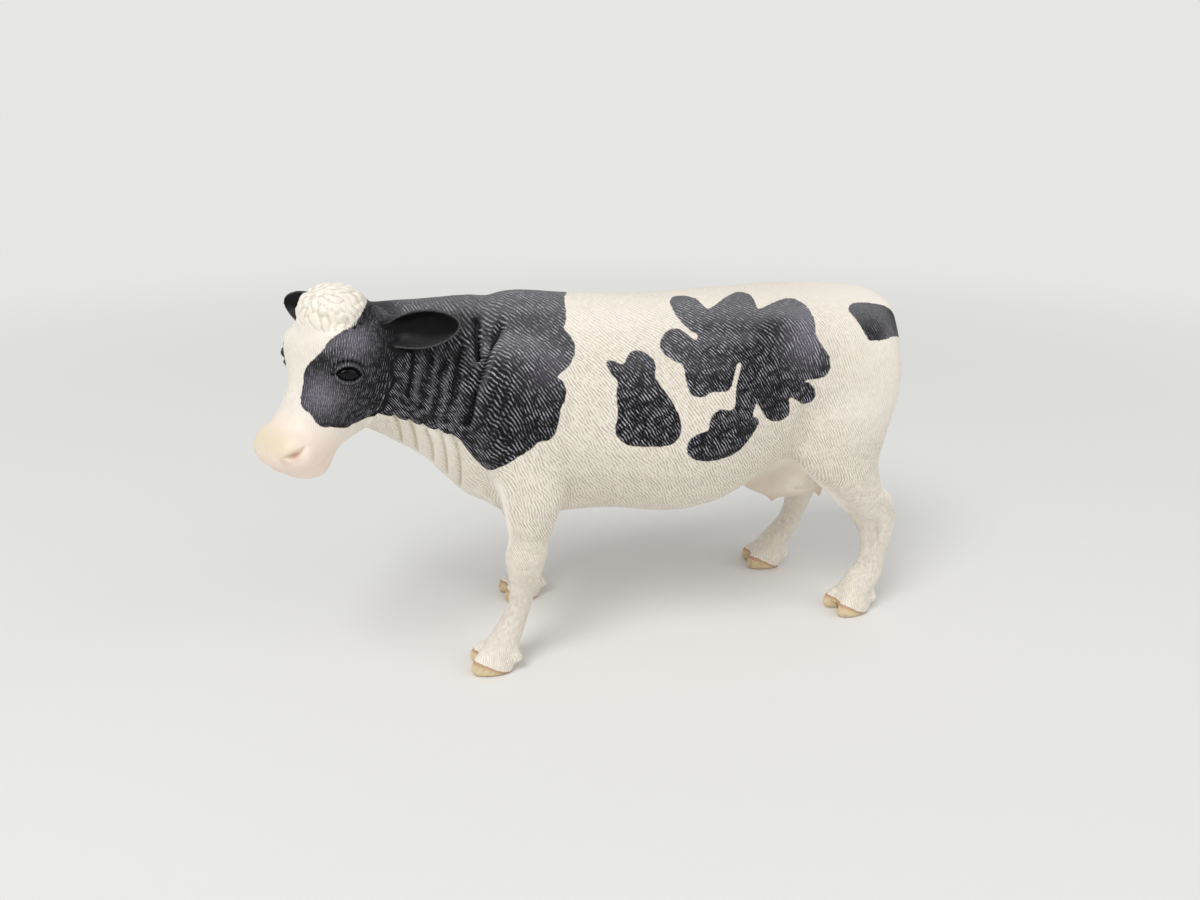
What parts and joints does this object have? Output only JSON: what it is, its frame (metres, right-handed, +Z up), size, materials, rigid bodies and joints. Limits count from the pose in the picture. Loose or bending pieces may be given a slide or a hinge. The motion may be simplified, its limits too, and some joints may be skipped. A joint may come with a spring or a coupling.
{
  "type": "toy cow figure",
  "caption": "Solid vinyl toy dairy cow standing on four hooves with its head turned to its left; stands on a shelf or play mat.",
  "frame": {"origin": "on the ground plane of the four soles, under the centre of the bounding box", "axes": "+Z up, +X from the muzzle to the tail, -Y the cow's left side, which the picture shows"},
  "size_m": [0.1326, 0.0434, 0.0763],
  "materials": {
    "hide": "ivory white soft vinyl, hand-painted charcoal patches, engraved hair",
    "face": "ivory white soft vinyl, charcoal cheek patches, pink muzzle, gloss black eyes",
    "ear": "soft vinyl painted satin charcoal",
    "leg": "ivory white soft vinyl, tan painted hooves",
    "udder": "soft vinyl washed beige pink",
    "tail": "ivory white soft vinyl, engraved hair"
  },
  "bodies": {
    "root": {"trunk": "hide", "head": "face", "ear_left": "ear", "ear_right": "ear", "foreleg_left": "leg", "foreleg_right": "leg", "hind_leg_left": "leg", "hind_leg_right": "leg", "udder": "udder", "tail": "tail"}
  },
  "joints": []
}
